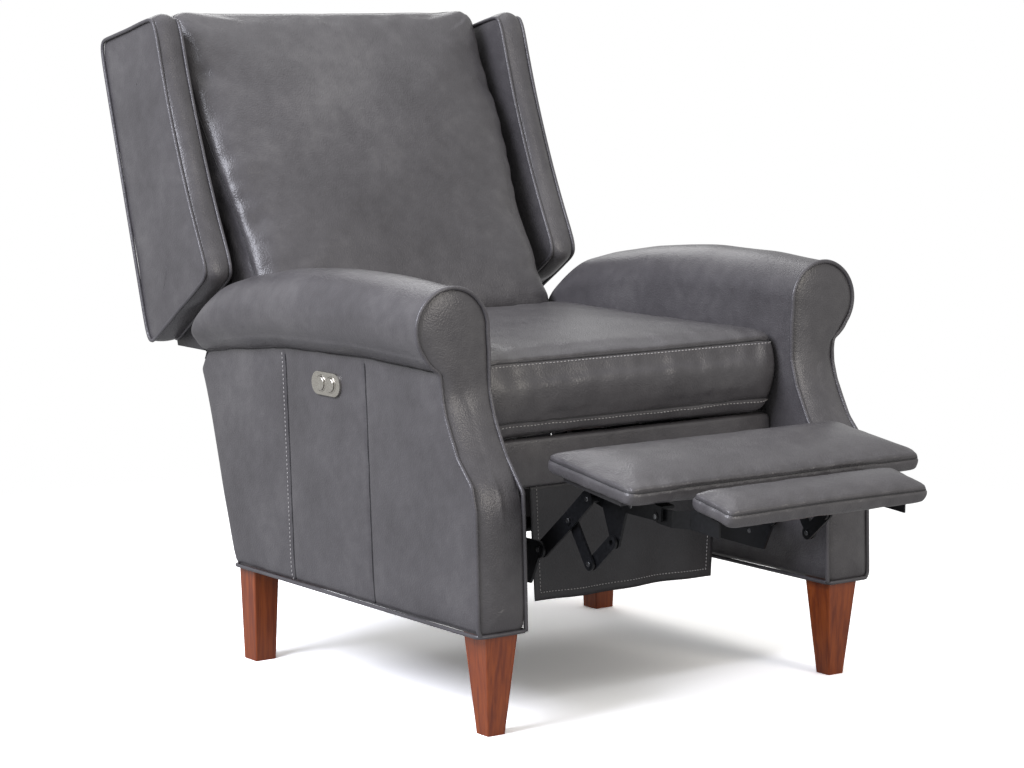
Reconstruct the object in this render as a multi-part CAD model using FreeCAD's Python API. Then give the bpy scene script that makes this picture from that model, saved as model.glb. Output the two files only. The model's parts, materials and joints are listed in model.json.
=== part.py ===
import FreeCAD, Part
import math
import os

# A power recliner with wings, rolled arms and a two-stage footrest, all sizes in mm.
# It stands on the floor with +Z up, +Y towards the back and the sitter's front at -Y.
# Side-view places are (y, z), measured back from the arms' front face and up from the floor.

from FreeCAD import Vector

# Overall frame of the chair
arm_inner_x = 288.0
arm_panel_outer_x = 372.0
arm_bottom_z = 152.0
clearance = 0.3
overrun = 5.0
board = 18.0

# Arm: a panel with a rolled top
roll_radius = 62.5
roll_front_z = 581.5
roll_inset = 2.0
roll_outer_x = arm_inner_x + roll_inset + 2 * roll_radius
neck_z = 519.0
neck_blend = 34.0
roll_set_back_y = 84.0
arm_scoop_top_z = 484.0
arm_knee_z = 352.0
arm_top_mid_y = 345.0
arm_top_mid_z = 650.0
arm_top_back_y = 640.0
arm_top_back_z = 616.0
arm_tail_y = 742.0
arm_tail_z = 512.0
arm_back_top_y = 766.0
arm_back_top_z = 478.0
arm_back_bottom_y = 664.0
arm_edge_round = 6.0
scoop_bend_share = 0.3
scoop_bulge_share = 0.12
tail_bulge_share = 0.2
roll_under_shares = (0.2, 0.62)
neck_shares = (0.3, 0.1)
blend_shares = (0.07, 0.45)
panel_top_share = 1.2

# Legs, square and tapered: across, back, width at the top and width at the foot
front_leg = (326.0, 29.0, 57.0, 30.0)
rear_leg = (341.0, 640.0, 46.0, 37.0)
leg_edge = 2.0

# Seat frame and seat cushion
rail_front_y = 128.0
rail_bottom_z = 329.0
seat_deck_z = 404.0
rail_thickness = 22.0
spring_spread = 76.0
side_rail_bottom_z = 352.0
side_rail_front_y = rail_front_y + rail_thickness + clearance
seat_back_y = 640.0
spring_count = 5
spring_turns = 5
spring_wire_radius = 2.0
spring_turn_half_width = 24.0
cushion_half_width = 284.0
cushion_front_y = 114.0
cushion_back_y = 664.0
cushion_side_z = 526.0
cushion_crown = 20.0
cushion_draw_in = 7.0
cushion_seam_round = 9.0

# Rear panel of the base, which leans with the arms' back edges
rear_panel_top_z = 396.0
rear_panel_thickness = 14.0

# Hanging leather flap behind the footrest linkage
flap_y = 133.0
flap_thickness = 2.0
flap_half_width_top = 181.0
flap_half_width_bottom = 171.0
flap_bottom_z = 156.0
flap_ripple = 3.0

# Recline mechanism: pivot of the back, and the steel side plates
back_pivot_y = 735.0
back_pivot_z = 430.0
pivot_pin_radius = 6.0
running_clearance = 0.05
plate_inner_x = 222.0
steel = 4.0
side_rail_inner_x = plate_inner_x + steel + clearance
layer_gap = 2.8
plate_front_y = 92.0
plate_back_y = 560.0
plate_top_z = 384.0
plate_step_y = rail_front_y + rail_thickness + clearance
plate_bottom_z = 204.0
cross_tube_radius = 11.0
front_tube_y = 190.0
rear_tube_y = 500.0
tube_z = 262.0

# Footrest linkage, one set of bars on each side, as (y, z) of each rivet
base_rivet = (50.0, 254.0)
cross_rivet = (-12.0, 305.0)
pad_rivet = (-55.0, 342.0)
bracket_drop = (-40.0, -58.0)
plate_nose = (82.0, 214.0)
bar_half_width = 12.5
guide_half_width = 9.8
rivet_radius = 4.0
rivet_head_radius = 6.5
rivet_head_height = 1.2
fold_degrees = 56.0
pad_turn_degrees = 82.6

# Footrest pad and the small extension pad
pad_half_width = 270.0
pad_back_y = -28.0
pad_back_z = 381.0
pad_depth = 193.0
pad_thickness = 27.0
pad_tilt_degrees = 7.4
pad_crown = 17.0
pad_board = 9.0
pad_board_front_margin = 42.0
extension_half_width = 184.0
extension_back_y = -241.0
extension_back_z = 349.0
extension_depth = 88.0
extension_thickness = 27.0
extension_crown = 10.0
extension_tilt_degrees = 11.0
extension_rivet = (-186.0, 334.0)
extension_arm_height = 22.0
extension_arm_steel = 3.0
extension_arm_x = 190.0
extension_arm_joggle = 18.0
arm_reach_share = 0.6
arm_bend_share = 0.1

# Back: wings, cushion, posts and outer panel
wing_inner_x = 322.0
wing_outer_x = 371.0
wing_top_front = (906.0, 1014.0)
wing_top_back = (1088.0, 974.0)
wing_bottom_back = (937.0, 474.0)
wing_bottom_front = (744.0, 606.0)
wing_front_hollow = 16.0
wing_edge_round = 8.0
back_cushion_half_width = 303.0
back_cushion_foot = (688.0, 536.0)
back_cushion_lean_degrees = 28.6
back_cushion_length = 562.0
back_cushion_thickness = 110.0
back_cushion_crown = 26.0
back_cushion_draw_in = 8.0
back_cushion_low_half_width = 286.0
back_cushion_low_length = 118.0
back_cushion_flare_length = 34.0
post_inner_x = 262.0
post_outer_x = wing_inner_x - clearance
back_board = 12.0
back_rail_height = 70.0
post_top_share = 0.97
post_low_share = 0.3
post_high_share = 0.95
rail_slope_share = 0.3
back_rail_shares = (0.05, 0.72)
bracket_reach_share = 0.35
cap_shares = (0.9, 0.985)

# Switch on the outer side of one arm
switch_y = 384.0
switch_z = 472.0
switch_half_length = 39.0
switch_half_height = 17.5
switch_thickness = 4.0
button_radius = 11.0
button_spacing = 27.0
button_proud = 3.0
button_travel = 1.5

# Drive under the seat
motor_length = 120.0
motor_radius = 34.0
drive_tube_radius = 12.0
carriage_half_width = 20.0
carriage_length = 46.0


def plus(first, second):
    return first[0] + second[0], first[1] + second[1]


def block(low, high):
    """A box from its lowest to its highest corner."""
    return Part.makeBox(high[0] - low[0], high[1] - low[1], high[2] - low[2], Vector(*low))


def side_wire(x, path):
    """A closed wire in the side view; a step with three places is an arc through its middle."""
    edges = []
    start = path[0][-1]
    for step in path[1:] + [path[0]]:
        end = step[-1]
        first, last = Vector(x, *start), Vector(x, *end)
        if len(step) == 2:
            edges.append(Part.Arc(first, Vector(x, *step[0]), last).toShape())
        else:
            edges.append(Part.LineSegment(first, last).toShape())
        start = end
    return Part.Wire(edges)


def side_slab(path, low_x, high_x):
    """A side-view outline given a width along X."""
    face = Part.Face(side_wire(low_x, path))
    return face.extrude(Vector(high_x - low_x, 0, 0))


def rod_x(place, radius, low_x, high_x):
    """A round rod along X at a (y, z) place."""
    return Part.makeCylinder(radius, high_x - low_x, Vector(low_x, *place), Vector(1, 0, 0))


def bar(places, half_width, low_x, high_x):
    """A flat steel bar with round ends through the (y, z) places."""
    solid = rod_x(places[0], half_width, low_x, high_x)
    for first, second in zip(places, places[1:]):
        run_y, run_z = second[0] - first[0], second[1] - first[1]
        length = math.hypot(run_y, run_z)
        across = (-run_z / length * half_width, run_y / length * half_width)
        corners = [
            [plus(first, across)],
            [plus(second, across)],
            [(second[0] - across[0], second[1] - across[1])],
            [(first[0] - across[0], first[1] - across[1])],
        ]
        solid = solid.fuse(side_slab(corners, low_x, high_x))
        solid = solid.fuse(rod_x(second, half_width, low_x, high_x))
    return solid.removeSplitter()


def drilled(solid, places, radius):
    """The solid with a round hole along X at each place."""
    bounds = solid.BoundBox
    for place in places:
        solid = solid.cut(rod_x(place, radius, bounds.XMin - overrun, bounds.XMax + overrun))
    return solid


def bowed_wire(half_width, back, front, bow, z):
    """A four-sided outline in plan whose sides pull in by bow between the corners."""
    corners = [(half_width, front), (half_width, back), (-half_width, back), (-half_width, front)]
    middle = (back + front) / 2
    waists = [
        (half_width - bow, middle),
        (0, back + bow if back < front else back - bow),
        (-half_width + bow, middle),
        (0, front - bow if back < front else front + bow),
    ]
    edges = []
    for index, corner in enumerate(corners):
        end = corners[(index + 1) % len(corners)]
        arc = Part.Arc(Vector(*corner, z), Vector(*waists[index], z), Vector(*end, z))
        edges.append(arc.toShape())
    return Part.Wire(edges)


def cushion(half_width, depth, thickness, crown, bow, seam_round):
    """A crowned cushion lying flat: x across, y from 0 to depth, its side from z 0 to thickness."""
    levels = [
        (seam_round, 0),
        (seam_round * 0.3, seam_round * 0.3),
        (0, seam_round),
        (0, thickness - seam_round),
        (seam_round * 0.3, thickness - seam_round * 0.3),
        (seam_round, thickness),
    ]
    steps = 5
    dome = min(half_width, depth / 2) - 2 * seam_round
    for step in range(1, steps + 1):
        angle = math.pi / 2 * step / (steps + 1)
        inset = seam_round + dome * (1 - math.cos(angle))
        levels.append((inset, thickness + crown * math.sin(angle)))
    wires = []
    for inset, z in levels:
        share = max(0, 1 - inset / dome)
        wires.append(bowed_wire(half_width - inset, depth - inset, inset, bow * share + seam_round * 0.1, z))
    return Part.makeLoft(wires, True, True)


def laid(solid, degrees, place):
    """A solid made flat at the origin, tilted about X and set down at (y, z)."""
    solid.rotate(Vector(0, 0, 0), Vector(1, 0, 0), degrees)
    solid.translate(Vector(0, *place))
    return solid


def mirrored(solid):
    return solid.mirror(Vector(0, 0, 0), Vector(1, 0, 0))


def arm_side_path():
    """Side view of an arm: scooped front, arched top, rounded tail and leaning back edge."""
    scoop = (arm_scoop_top_z + arm_knee_z) / 2
    half_set_back = roll_set_back_y / 2
    bulge = roll_set_back_y * scoop_bulge_share
    bend = half_set_back * scoop_bend_share
    tail_bulge = tail_bulge_share * roll_radius
    tail_mid_y = (arm_top_back_y + arm_tail_y) / 2 + tail_bulge
    tail_mid_z = (arm_top_back_z + arm_tail_z) / 2 + tail_bulge
    top_front_z = roll_front_z + roll_radius - arm_edge_round
    return [
        [(0, arm_bottom_z)],
        [(0, arm_knee_z)],
        [(bend, (arm_knee_z + scoop) / 2 + bulge), (half_set_back, scoop)],
        [(roll_set_back_y - bend, (arm_scoop_top_z + scoop) / 2 - bulge),
         (roll_set_back_y, arm_scoop_top_z)],
        [(roll_set_back_y, top_front_z)],
        [(roll_set_back_y + arm_edge_round, roll_front_z + roll_radius - clearance)],
        [(arm_top_mid_y, arm_top_mid_z), (arm_top_back_y, arm_top_back_z)],
        [(tail_mid_y, tail_mid_z), (arm_tail_y, arm_tail_z)],
        [(arm_back_top_y - clearance, arm_back_top_z + board)],
        [(arm_back_top_y, arm_back_top_z)],
        [(arm_back_bottom_y, arm_bottom_z)],
    ]


def arm_front_face(y):
    """Front view of an arm: flat inside, a round roll that overhangs the outer panel."""
    centre = (arm_inner_x + roll_inset + roll_radius, roll_front_z)
    top = (centre[0], arm_top_mid_z + overrun)
    inner_top = (arm_inner_x, roll_front_z)
    lift = arm_top_mid_z + overrun - roll_front_z
    shoulder = math.sin(math.pi / 4)
    points = {
        "inner_bottom": (arm_inner_x, arm_bottom_z - overrun),
        "inner_top": inner_top,
        "inner_arc": (centre[0] - shoulder * (centre[0] - arm_inner_x), centre[1] + shoulder * lift),
        "top": top,
        "outer_arc": (centre[0] + shoulder * roll_radius, centre[1] + shoulder * lift),
        "outer": (roll_outer_x, roll_front_z),
        "under_arc": (roll_outer_x - roll_radius * roll_under_shares[0],
                      roll_front_z - roll_radius * roll_under_shares[1]),
        "neck": (arm_panel_outer_x + neck_blend * neck_shares[0], neck_z + neck_blend * neck_shares[1]),
        "blend_arc": (arm_panel_outer_x + neck_blend * blend_shares[0],
                      neck_z - neck_blend * blend_shares[1]),
        "panel_top": (arm_panel_outer_x, neck_z - neck_blend * panel_top_share),
        "outer_bottom": (arm_panel_outer_x, arm_bottom_z - overrun),
    }
    at = {name: Vector(x, y, z) for name, (x, z) in points.items()}
    edges = [
        Part.LineSegment(at["inner_bottom"], at["inner_top"]).toShape(),
        Part.Arc(at["inner_top"], at["inner_arc"], at["top"]).toShape(),
        Part.Arc(at["top"], at["outer_arc"], at["outer"]).toShape(),
        Part.Arc(at["outer"], at["under_arc"], at["neck"]).toShape(),
        Part.Arc(at["neck"], at["blend_arc"], at["panel_top"]).toShape(),
        Part.LineSegment(at["panel_top"], at["outer_bottom"]).toShape(),
        Part.LineSegment(at["outer_bottom"], at["inner_bottom"]).toShape(),
    ]
    return Part.Face(Part.Wire(edges))


def make_arm():
    """The upholstered arm, where the side view and the front view meet."""
    side = side_slab(arm_side_path(), arm_inner_x - overrun, roll_outer_x + overrun)
    length = arm_back_top_y + 2 * overrun
    front = arm_front_face(-overrun).extrude(Vector(0, length, 0))
    return side.common(front)


def make_leg(leg_x, leg_y, top_width, foot_width):
    """A square leg that tapers to the foot."""
    def square(width, z):
        half = width / 2
        corners = [(-half, -half), (half, -half), (half, half), (-half, half), (-half, -half)]
        return Part.makePolygon([Vector(leg_x + across, leg_y + along, z) for across, along in corners])
    leg = Part.makeLoft([square(foot_width, 0), square(top_width, arm_bottom_z - clearance)], True, True)
    return leg.makeFillet(leg_edge, [edge for edge in leg.Edges if edge.Length > arm_bottom_z / 2])


def make_springs():
    """Sinuous seat springs, each one unbroken zigzag of wire from the front to the rear rail."""
    front = rail_front_y + rail_thickness + clearance + spring_wire_radius
    back = seat_back_y - rail_thickness - clearance - spring_wire_radius
    pitch = (back - front) / (2 * spring_turns)
    z = seat_deck_z - 6 * spring_wire_radius
    springs = []
    for index in range(spring_count):
        x = (index - (spring_count - 1) / 2) * spring_spread
        edges = []
        place = Vector(x, front, z)
        for turn in range(2 * spring_turns):
            way = 1 if turn % 2 else -1
            end = Vector(x, front + (turn + 1) * pitch, z)
            bulge = Vector(x + way * spring_turn_half_width, front + (turn + 0.5) * pitch, z)
            edges.append(Part.Arc(place, bulge, end).toShape())
            place = end
        springs.append(edges)
    solids = []
    for edges in springs:
        pieces = []
        for edge in edges:
            start = edge.valueAt(edge.FirstParameter)
            tangent = edge.tangentAt(edge.FirstParameter)
            profile = Part.Wire([Part.makeCircle(spring_wire_radius, start, tangent)])
            pieces.append(Part.Wire([edge]).makePipeShell([profile], True, True))
        solids.append(pieces[0].multiFuse(pieces[1:]))
    return Part.makeCompound(solids)


def make_flap():
    """A leather sheet hung from the front rail, a little narrower at its hem and gently rippled."""
    wires = []
    z_levels = [flap_bottom_z, (flap_bottom_z + rail_bottom_z) / 2, rail_bottom_z - clearance]
    for z in z_levels:
        share = (z - flap_bottom_z) / (rail_bottom_z - flap_bottom_z)
        half = flap_half_width_bottom + (flap_half_width_top - flap_half_width_bottom) * share
        bow_y = flap_y - flap_ripple * (1 - share) - flap_thickness / 10
        edges = []
        front = [Vector(-half, flap_y, z), Vector(0, bow_y, z), Vector(half, flap_y, z)]
        back = [point + Vector(0, flap_thickness, 0) for point in front]
        edges.append(Part.Arc(front[0], front[1], front[2]).toShape())
        edges.append(Part.LineSegment(front[2], back[2]).toShape())
        edges.append(Part.Arc(back[2], back[1], back[0]).toShape())
        edges.append(Part.LineSegment(back[0], front[0]).toShape())
        wires.append(Part.Wire(edges))
    return Part.makeLoft(wires, True, True)


def make_side_plate():
    """The steel plate that carries the linkage on one side, with a nose for the lowest bar."""
    nose = bar_half_width
    path = [
        [(plate_step_y, plate_top_z)],
        [(plate_step_y, rail_bottom_z - clearance)],
        [(plate_front_y, rail_bottom_z - clearance)],
        [(plate_front_y, base_rivet[1] + nose)],
        [(base_rivet[0], base_rivet[1] + nose)],
        [(base_rivet[0] - nose, base_rivet[1]), (base_rivet[0], base_rivet[1] - nose)],
        [(plate_nose[0] - nose, plate_nose[1] - nose)],
        [(plate_nose[0] + nose, plate_bottom_z - layer_gap)],
        [(plate_back_y - nose, plate_bottom_z + nose)],
        [(plate_back_y, plate_bottom_z + 3 * nose)],
        [(plate_back_y, plate_top_z)],
    ]
    plate = side_slab(path, plate_inner_x, plate_inner_x + steel)
    plate = drilled(plate, [base_rivet], rivet_radius + running_clearance)
    return drilled(plate, [(front_tube_y, tube_z), (rear_tube_y, tube_z)], cross_tube_radius)


def layer(index):
    """Inner and outer x of a bar's layer, counted inwards from the side plate."""
    outer = plate_inner_x - layer_gap - index * (steel + layer_gap)
    return outer - steel, outer


pad_low = plus(pad_rivet, bracket_drop)
cross_low = plus(cross_rivet, bracket_drop)
fit = rivet_radius + running_clearance
link_layer, brace_layer, guide_layer, bracket_layer = [layer(index) for index in range(4)]


def make_link():
    """Main bar, from the side plate's nose past the crossing to the pad bracket."""
    places = [base_rivet, cross_rivet, pad_rivet]
    return drilled(bar(places, bar_half_width, *link_layer), [cross_rivet, pad_rivet], fit).fuse(
        make_shank(base_rivet, link_layer[0], plate_inner_x + steel)
    )


def make_shank(place, low_x, high_x):
    """A rivet that belongs to one bar and turns in the hole of the next."""
    head_low = rod_x(place, rivet_head_radius, low_x - rivet_head_height, low_x)
    far_x = high_x + running_clearance + rivet_head_height
    head_high = rod_x(place, rivet_head_radius, high_x + running_clearance, far_x)
    shank = rod_x(place, rivet_radius, low_x - rivet_head_height, far_x)
    return shank.fuse(head_low).fuse(head_high)


def make_brace():
    """Crossing bar, riveted to the main bar and to the guide bar below it."""
    solid = bar([cross_rivet, cross_low], bar_half_width - layer_gap, *brace_layer)
    solid = drilled(solid, [cross_low], fit)
    return solid.fuse(make_shank(cross_rivet, brace_layer[0], link_layer[1]))


def make_guide():
    """Lower bar, which keeps the bracket parallel to the crossing bar."""
    solid = drilled(bar([cross_low, pad_low], guide_half_width, *guide_layer), [pad_low], fit)
    return solid.fuse(make_shank(cross_low, guide_layer[0], brace_layer[1]))


def pad_under(y):
    """Height of the footrest pad's board at a place along it."""
    return pad_back_z + (y - pad_back_y) * math.tan(math.radians(pad_tilt_degrees))


def make_bracket():
    """Pad bracket: a plate with a flange under the footrest board."""
    low_x, high_x = bracket_layer
    nose = bar_half_width
    under = 2 * clearance + pad_board
    rear_y = pad_rivet[0] + nose
    front_y = extension_rivet[0] - nose
    path = [
        [(rear_y, pad_under(rear_y) - under)],
        [(rear_y, pad_rivet[1] - nose / 2)],
        [(pad_rivet[0] - nose, pad_rivet[1] - nose)],
        [(pad_low[0] + guide_half_width, pad_low[1])],
        [(pad_low[0], pad_low[1] - guide_half_width), (pad_low[0] - guide_half_width, pad_low[1])],
        [(pad_low[0] - 2 * nose, pad_rivet[1] - nose)],
        [(front_y, extension_rivet[1] - nose / 2)],
        [(front_y, pad_under(front_y) - under)],
    ]
    solid = side_slab(path, low_x, high_x)
    flange = [
        [(rear_y, pad_under(rear_y) - under)],
        [(rear_y, pad_under(rear_y) - under - steel)],
        [(front_y, pad_under(front_y) - under - steel)],
        [(front_y, pad_under(front_y) - under)],
    ]
    solid = solid.fuse(side_slab(flange, low_x - 5 * steel, high_x))
    solid = drilled(solid, [extension_rivet], fit)
    solid = solid.fuse(make_shank(pad_low, low_x, guide_layer[0] - clearance - rivet_head_height))
    long_shank = rod_x(pad_rivet, rivet_radius, low_x, link_layer[1] + running_clearance)
    collar = rod_x(pad_rivet, rivet_head_radius, high_x, link_layer[0] - clearance)
    return solid.fuse(long_shank).fuse(collar)


def extension_under(y):
    return extension_back_z + (y - extension_back_y) * math.tan(math.radians(extension_tilt_degrees))


def make_extension_arm():
    """Bent steel strip that swings the extension pad out from under the footrest."""
    half = extension_arm_height / 2
    outer_x = bracket_layer[0] - layer_gap
    tail_x = outer_x - extension_arm_joggle
    far_y = extension_back_y - extension_depth * arm_reach_share
    bend_y = extension_back_y + extension_depth * arm_bend_share
    thin = extension_arm_steel
    top = [
        (outer_x, extension_rivet[0] + half),
        (outer_x, bend_y + extension_arm_joggle),
        (tail_x, bend_y),
        (tail_x, far_y),
        (tail_x - thin, far_y),
        (tail_x - thin, bend_y - thin / 2),
        (outer_x - thin, bend_y + extension_arm_joggle - thin / 2),
        (outer_x - thin, extension_rivet[0] + half),
    ]
    low_z = extension_rivet[1] - 4 * half
    points = [Vector(x, y, low_z) for x, y in top]
    strip = Part.Face(Part.makePolygon(points + points[:1])).extrude(Vector(0, 0, 8 * half))
    under = clearance
    side = side_slab(
        [
            [(extension_rivet[0], extension_rivet[1] + half)],
            [(extension_rivet[0] + half, extension_rivet[1]), (extension_rivet[0], extension_rivet[1] - half)],
            [(far_y - overrun, extension_under(far_y - overrun) - 2 * half - under)],
            [(far_y - overrun, extension_under(far_y - overrun) - under)],
            [(extension_back_y, extension_under(extension_back_y) - under)],
            [(extension_back_y + half, extension_rivet[1] + half)],
        ],
        tail_x - overrun, outer_x + overrun,
    )
    solid = strip.common(side)
    flange_y = extension_back_y - thin
    flange = side_slab(
        [
            [(flange_y, extension_under(flange_y) - under)],
            [(flange_y, extension_under(flange_y) - under - thin)],
            [(far_y, extension_under(far_y) - under - thin)],
            [(far_y, extension_under(far_y) - under)],
        ],
        tail_x - 8 * thin, tail_x,
    )
    solid = solid.fuse(flange)
    return solid.fuse(make_shank(extension_rivet, outer_x - thin, bracket_layer[1]))


def wing_path():
    front_mid = ((wing_top_front[0] + wing_bottom_front[0]) / 2 + wing_front_hollow,
                 (wing_top_front[1] + wing_bottom_front[1]) / 2)
    return [
        [wing_top_back],
        [wing_bottom_back],
        [wing_bottom_front],
        [front_mid, wing_top_front],
    ]


def make_wing():
    wing = side_slab(wing_path(), wing_inner_x, wing_outer_x)
    long_edges = [edge for edge in wing.Edges if edge.Length > 2 * (wing_outer_x - wing_inner_x)]
    return wing.makeFillet(wing_edge_round, long_edges)


def along_back(share):
    """A (y, z) place up the wing's back edge, as a share from bottom to top."""
    return (wing_bottom_back[0] + (wing_top_back[0] - wing_bottom_back[0]) * share,
            wing_bottom_back[1] + (wing_top_back[1] - wing_bottom_back[1]) * share)


def cushion_rear(distance, extra=0):
    """A place behind the back cushion, a distance up its lean."""
    angle = math.radians(back_cushion_lean_degrees)
    gap = back_cushion_thickness + clearance + extra
    return (back_cushion_foot[0] + distance * math.sin(angle) + gap * math.cos(angle),
            back_cushion_foot[1] + distance * math.cos(angle) - gap * math.sin(angle))


def make_post():
    """Upright of the back frame beside the cushion."""
    inset = back_board + clearance
    top = plus(along_back(post_top_share), (-inset, 0))
    foot = plus(along_back(0), (-inset, clearance))
    path = [
        [top],
        [foot],
        [(arm_back_top_y + board, foot[1])],
        [cushion_rear(back_cushion_length * post_low_share)],
        [cushion_rear(back_cushion_length * post_high_share)],
    ]
    return side_slab(path, post_inner_x, post_outer_x)


def make_back_panel():
    """Outer back, a board between the wings' back edges."""
    path = [
        [plus(along_back(1), (-clearance, -wing_edge_round))],
        [plus(along_back(0), (-clearance, 0))],
        [plus(along_back(0), (-back_board, 0))],
        [plus(along_back(1), (-back_board, -wing_edge_round))],
    ]
    return side_slab(path, -wing_inner_x + clearance, wing_inner_x - clearance)


def make_back_rail(share):
    """Cross rail of the back frame between the posts."""
    inset = back_board + clearance
    low = plus(along_back(share), (-inset, 0))
    high = plus(along_back(share), (-inset + back_rail_height * rail_slope_share, back_rail_height))
    path = [[high], [low], [plus(low, (-board, 0))], [plus(high, (-board, 0))]]
    return side_slab(path, -post_inner_x + clearance, post_inner_x - clearance)


def make_back_bracket():
    """Steel arm from the back frame down to the recline pivot."""
    pivot = (back_pivot_y, back_pivot_z)
    top = cushion_rear(back_cushion_length * bracket_reach_share, 2 * board)
    elbow = (arm_back_top_y + 3 * board, arm_back_top_z)
    outer_x = post_inner_x - clearance
    solid = bar([pivot, elbow, top], board, outer_x - steel, outer_x)
    return drilled(solid, [pivot], pivot_pin_radius + running_clearance)


def make_back_cap():
    """Board that closes the back's top between the cushion and the outer panel."""
    inset = (-back_board - clearance, 0)
    low_share, high_share = cap_shares
    path = [
        [cushion_rear(back_cushion_length * high_share)],
        [cushion_rear(back_cushion_length * low_share)],
        [plus(along_back(low_share), inset)],
        [plus(along_back(high_share), inset)],
    ]
    return side_slab(path, -post_inner_x + clearance, post_inner_x - clearance)


def make_switch_plate():
    """Oval plate set on the arm's outer panel, with a hole for each button."""
    face_x = -arm_panel_outer_x - clearance
    inner = switch_half_length - switch_half_height
    ends = [(switch_y - inner, switch_z), (switch_y + inner, switch_z)]
    plate = bar(ends, switch_half_height, face_x - switch_thickness, face_x)
    for way in (-1, 1):
        hole = (switch_y + way * button_spacing / 2, switch_z)
        plate = drilled(plate, [hole], button_radius + running_clearance)
    return plate


def make_button(way):
    face_x = -arm_panel_outer_x - clearance
    place = (switch_y + way * button_spacing / 2, switch_z)
    low_x = face_x - switch_thickness - button_proud
    cap = rod_x(place, button_radius, low_x, face_x - button_travel - clearance)
    round_edge = [edge for edge in cap.Edges if abs(edge.BoundBox.XMax - low_x) < clearance]
    return cap.makeFillet(button_proud / 2, round_edge)


parts = {}
parts["arm_right"] = make_arm()
parts["front_leg_right"] = make_leg(*front_leg)
parts["rear_leg_right"] = make_leg(*rear_leg)

parts["side_rail_right"] = block((side_rail_inner_x, side_rail_front_y, side_rail_bottom_z),
                                 (arm_inner_x - clearance, seat_back_y, seat_deck_z))
parts["side_plate_right"] = make_side_plate()
parts["main_link_right"] = make_link()
parts["brace_link_right"] = make_brace()
parts["guide_link_right"] = make_guide()
parts["pad_bracket_right"] = make_bracket()
parts["extension_arm_right"] = make_extension_arm()
parts["wing_right"] = make_wing()
parts["back_post_right"] = make_post()
parts["back_bracket_right"] = make_back_bracket()

for name in list(parts):
    parts[name.replace("_right", "_left")] = mirrored(parts[name])

front_rail_half_width = arm_inner_x - clearance
parts["front_rail"] = block((-front_rail_half_width, rail_front_y, rail_bottom_z),
                            (front_rail_half_width, rail_front_y + rail_thickness, seat_deck_z))
rear_rail_half_width = side_rail_inner_x - clearance
parts["rear_rail"] = block((-rear_rail_half_width, seat_back_y - rail_thickness, side_rail_bottom_z),
                           (rear_rail_half_width, seat_back_y, seat_deck_z))
parts["seat_springs"] = make_springs()
parts["front_cross_tube"] = rod_x((front_tube_y, tube_z), cross_tube_radius,
                                  -plate_inner_x - steel, plate_inner_x + steel)
parts["rear_cross_tube"] = rod_x((rear_tube_y, tube_z), cross_tube_radius,
                                 -plate_inner_x - steel, plate_inner_x + steel)
parts["front_flap"] = make_flap()

rear_slope = (arm_back_top_y - arm_back_bottom_y) / (arm_back_top_z - arm_bottom_z)
rear_top_y = arm_back_bottom_y + rear_slope * (rear_panel_top_z - arm_bottom_z)
parts["rear_panel"] = side_slab(
    [
        [(arm_back_bottom_y - clearance, arm_bottom_z)],
        [(rear_top_y - clearance, rear_panel_top_z)],
        [(rear_top_y - clearance - rear_panel_thickness, rear_panel_top_z)],
        [(arm_back_bottom_y - clearance - rear_panel_thickness, arm_bottom_z)],
    ],
    -arm_inner_x + clearance, arm_inner_x - clearance,
)

seat = cushion(cushion_half_width, cushion_back_y - cushion_front_y, cushion_side_z - seat_deck_z - clearance,
               cushion_crown, cushion_draw_in, cushion_seam_round)
seat.translate(Vector(0, cushion_front_y, seat_deck_z + clearance))
parts["seat_cushion"] = seat

back_pad = cushion(back_cushion_half_width, back_cushion_length, back_cushion_thickness,
                   back_cushion_crown, back_cushion_draw_in, cushion_seam_round)
flare_x = back_cushion_half_width + overrun
flare_top = back_cushion_low_length + back_cushion_flare_length
for side in (-1, 1):
    beside_arm = [
        Vector(side * back_cushion_low_half_width, -overrun, -overrun),
        Vector(side * back_cushion_low_half_width, back_cushion_low_length, -overrun),
        Vector(side * flare_x, flare_top, -overrun),
        Vector(side * flare_x, -overrun, -overrun),
    ]
    cut_away = Part.Face(Part.makePolygon(beside_arm + beside_arm[:1]))
    back_pad = back_pad.cut(cut_away.extrude(Vector(0, 0, back_cushion_thickness + 2 * back_cushion_crown)))
parts["back_cushion"] = laid(back_pad, 90 - back_cushion_lean_degrees, cushion_rear(0, -clearance))

pad = cushion(pad_half_width, pad_depth, pad_thickness, pad_crown, clearance, cushion_seam_round)
pad.translate(Vector(0, -pad_depth, 0))
parts["footrest_pad"] = laid(pad, pad_tilt_degrees, (pad_back_y, pad_back_z))
underside = block((-pad_half_width + board, -pad_depth + pad_board_front_margin, -pad_board - clearance),
                  (pad_half_width - board, -board, -clearance))
parts["footrest_board"] = laid(underside, pad_tilt_degrees, (pad_back_y, pad_back_z))
small = cushion(extension_half_width, extension_depth, extension_thickness, extension_crown, clearance,
                cushion_seam_round)
small.translate(Vector(0, -extension_depth, 0))
parts["extension_pad"] = laid(small, extension_tilt_degrees, (extension_back_y, extension_back_z))

parts["back_panel"] = make_back_panel()
parts["back_cap"] = make_back_cap()
parts["back_bottom_rail"] = make_back_rail(back_rail_shares[0])
parts["back_top_rail"] = make_back_rail(back_rail_shares[1])
parts["recline_shaft"] = rod_x((back_pivot_y, back_pivot_z), pivot_pin_radius,
                               -arm_inner_x + clearance, arm_inner_x - clearance)

parts["switch_plate"] = make_switch_plate()
parts["recline_button"] = make_button(-1)
parts["footrest_button"] = make_button(1)

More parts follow.
